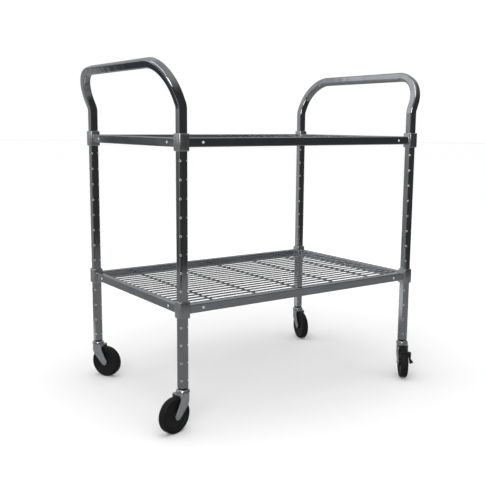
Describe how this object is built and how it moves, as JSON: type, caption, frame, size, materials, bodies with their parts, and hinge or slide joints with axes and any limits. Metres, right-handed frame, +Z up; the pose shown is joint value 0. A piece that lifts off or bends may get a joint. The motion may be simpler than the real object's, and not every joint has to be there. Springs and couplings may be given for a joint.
{
  "type": "rolling utility cart",
  "caption": "Bent square-tube cart with wire shelves that index up and down its posts, push handles at both ends, and swivel stem casters, one with a side brake",
  "frame": {"origin": "on the floor, under the centre of the rectangle that the post axes make", "axes": "+X along the long side to the right, +Y to the back, +Z up"},
  "size_m": [1.0209, 0.6649, 1.0291],
  "materials": {
    "chromed_tube": "polished chrome plate on square steel tube",
    "chromed_rail": "polished chrome plate on rectangular steel tube",
    "chromed_collar": "chrome plate on cast collars",
    "chromed_wire": "bright plated steel wire",
    "bright_fastener": "bright steel",
    "zinc_fork": "zinc plated pressed steel",
    "zinc_fastener": "zinc plated",
    "zinc_brake": "black zinc plated pressed steel",
    "polished_race": "polished pressed steel",
    "bearing_steel": "hardened steel",
    "black_nylon": "moulded black nylon",
    "bronze_bush": "sintered bronze",
    "black_wheel_plastic": "moulded black plastic",
    "black_rubber": "matt black rubber"
  },
  "bodies": {
    "frame": {"left_end_frame": "chromed_tube", "right_end_frame": "chromed_tube", "stem_sockets": "black_nylon", "swivel_stems": "bearing_steel", "swivel_races": "polished_race", "swivel_balls": "bearing_steel"},
    "top_shelf": {"top_front_rail": "chromed_rail", "top_rear_rail": "chromed_rail", "top_left_rail": "chromed_rail", "top_right_rail": "chromed_rail", "top_front_left_collar": "chromed_collar", "top_rear_left_collar": "chromed_collar", "top_front_right_collar": "chromed_collar", "top_rear_right_collar": "chromed_collar", "top_long_wires": "chromed_wire", "top_cross_wires": "chromed_wire", "top_rail_rivets": "bright_fastener", "top_lock_screws": "bright_fastener"},
    "bottom_shelf": {"bottom_front_rail": "chromed_rail", "bottom_rear_rail": "chromed_rail", "bottom_left_rail": "chromed_rail", "bottom_right_rail": "chromed_rail", "bottom_front_left_collar": "chromed_collar", "bottom_rear_left_collar": "chromed_collar", "bottom_front_right_collar": "chromed_collar", "bottom_rear_right_collar": "chromed_collar", "bottom_long_wires": "chromed_wire", "bottom_cross_wires": "chromed_wire", "bottom_rail_rivets": "bright_fastener", "bottom_lock_screws": "bright_fastener"},
    "front_left_caster": {"front_left_fork": "zinc_fork", "front_left_axle_bolt": "zinc_fastener", "front_left_axle_nut": "zinc_fastener", "front_left_bush": "bronze_bush"},
    "front_left_wheel": {"front_left_wheel_core": "black_wheel_plastic", "front_left_tyre": "black_rubber"},
    "rear_left_caster": {"rear_left_fork": "zinc_fork", "rear_left_axle_bolt": "zinc_fastener", "rear_left_axle_nut": "zinc_fastener", "rear_left_bush": "bronze_bush"},
    "rear_left_wheel": {"rear_left_wheel_core": "black_wheel_plastic", "rear_left_tyre": "black_rubber"},
    "front_right_caster": {"front_right_fork": "zinc_fork", "front_right_axle_bolt": "zinc_fastener", "front_right_axle_nut": "zinc_fastener", "front_right_bush": "bronze_bush", "front_right_brake_pivot": "bright_fastener"},
    "front_right_wheel": {"front_right_wheel_core": "black_wheel_plastic", "front_right_tyre": "black_rubber"},
    "rear_right_caster": {"rear_right_fork": "zinc_fork", "rear_right_axle_bolt": "zinc_fastener", "rear_right_axle_nut": "zinc_fastener", "rear_right_bush": "bronze_bush"},
    "rear_right_wheel": {"rear_right_wheel_core": "black_wheel_plastic", "rear_right_tyre": "black_rubber"},
    "front_right_brake": {"front_right_brake_lever": "zinc_brake"}
  },
  "joints": [
    {"name": "top_shelf_slide", "type": "slide", "parent": "frame", "child": "top_shelf", "axis": [0, 0, 1], "range_m": [-0.3048, 0]},
    {"name": "bottom_shelf_slide", "type": "slide", "parent": "frame", "child": "bottom_shelf", "axis": [0, 0, 1], "range_m": [-0.1524, 0.1524]},
    {"name": "front_left_swivel", "type": "hinge", "parent": "frame", "child": "front_left_caster", "pos_m": [-0.4375, -0.2865, 0.115], "axis": [0, 0, 1], "continuous": true},
    {"name": "rear_left_swivel", "type": "hinge", "parent": "frame", "child": "rear_left_caster", "pos_m": [-0.4375, 0.2865, 0.115], "axis": [0, 0, 1], "continuous": true},
    {"name": "front_right_swivel", "type": "hinge", "parent": "frame", "child": "front_right_caster", "pos_m": [0.4375, -0.2865, 0.115], "axis": [0, 0, 1], "continuous": true},
    {"name": "rear_right_swivel", "type": "hinge", "parent": "frame", "child": "rear_right_caster", "pos_m": [0.4375, 0.2865, 0.115], "axis": [0, 0, 1], "continuous": true},
    {"name": "front_left_spin", "type": "hinge", "parent": "front_left_caster", "child": "front_left_wheel", "pos_m": [-0.47049, -0.29473, 0.0508], "axis": [0.2419, -0.9703, 0], "continuous": true},
    {"name": "rear_left_spin", "type": "hinge", "parent": "rear_left_caster", "child": "rear_left_wheel", "pos_m": [-0.41999, 0.25736, 0.0508], "axis": [0.8572, 0.515, 0], "continuous": true},
    {"name": "front_right_spin", "type": "hinge", "parent": "front_right_caster", "child": "front_right_wheel", "pos_m": [0.41657, -0.31329, 0.0508], "axis": [0.788, -0.6157, 0], "continuous": true},
    {"name": "rear_right_spin", "type": "hinge", "parent": "rear_right_caster", "child": "rear_right_wheel", "pos_m": [0.42813, 0.25382, 0.0508], "axis": [0.9613, -0.2756, 0], "continuous": true},
    {"name": "front_right_brake_press", "type": "hinge", "parent": "front_right_caster", "child": "front_right_brake", "pos_m": [0.42088, -0.30778, 0.0798], "axis": [0.788, -0.6157, 0], "range_deg": [0, 5]}
  ]
}
